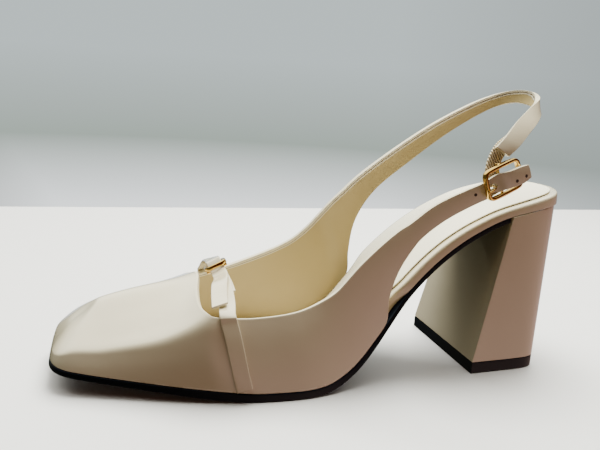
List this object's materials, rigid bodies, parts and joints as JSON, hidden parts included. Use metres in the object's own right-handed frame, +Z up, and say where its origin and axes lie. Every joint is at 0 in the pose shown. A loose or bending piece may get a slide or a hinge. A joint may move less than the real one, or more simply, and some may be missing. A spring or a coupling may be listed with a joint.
{
  "type": "slingback shoe",
  "caption": "Square-toed slingback pump for the left foot on a tapered block heel, patent upper with a buckled instep strap and an adjustable heel strap",
  "frame": {"origin": "on the floor, under the middle of the shoe's footprint", "axes": "toe towards -X, heel towards +X, lateral side with the buckles towards -Y, medial side towards +Y, up is +Z"},
  "size_m": [0.2324, 0.0802, 0.1291],
  "materials": {
    "patent_leather": "high gloss patent",
    "wrapped_leather": "semi gloss",
    "footbed_leather": "satin",
    "black_sole": "satin",
    "gold_metal": "polished",
    "elastic_band": "ribbed"
  },
  "bodies": {
    "root": {"upper": "patent_leather", "outsole": "black_sole", "insole_board": "wrapped_leather", "insole_sock": "footbed_leather", "heel_block": "patent_leather", "heel_top_lift": "black_sole", "instep_strap_lateral": "patent_leather", "instep_strap_medial": "patent_leather", "instep_buckle": "gold_metal", "sling_buckle": "gold_metal", "sling_prong": "gold_metal", "sling_elastic": "elastic_band"}
  },
  "joints": []
}
